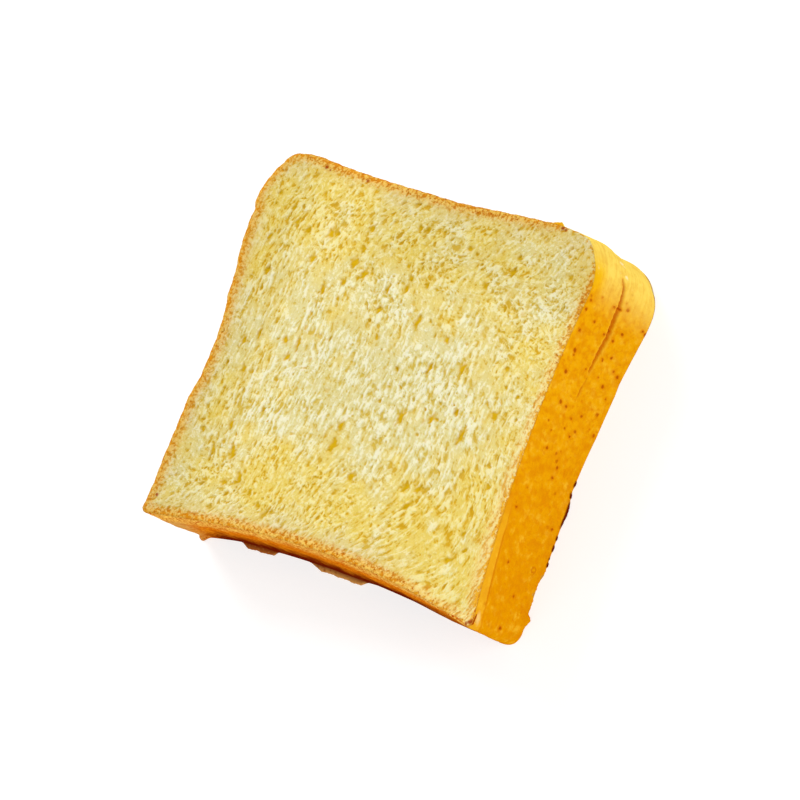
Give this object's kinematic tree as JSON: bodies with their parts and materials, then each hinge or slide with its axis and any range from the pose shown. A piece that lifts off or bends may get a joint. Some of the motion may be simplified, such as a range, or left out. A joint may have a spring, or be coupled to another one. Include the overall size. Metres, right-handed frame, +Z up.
{
  "type": "buttered toast",
  "caption": "Thick slice of square milk loaf, buttered on its upper cut face, with a golden side crust and waisted sides.",
  "frame": {"origin": "middle of the slice's box in plan, at the height of the cut face that it lies on", "axes": "+Z up out of the buttered face, +Y towards the top of the loaf, +X towards the golden side crust that shows"},
  "size_m": [0.1246, 0.1216, 0.0394],
  "materials": {
    "crumb": "soft open crumb with butter soaked in",
    "crust": "smooth golden crust with a faint sheen"
  },
  "bodies": {
    "root": {"toast_slice": "crumb"}
  },
  "joints": []
}
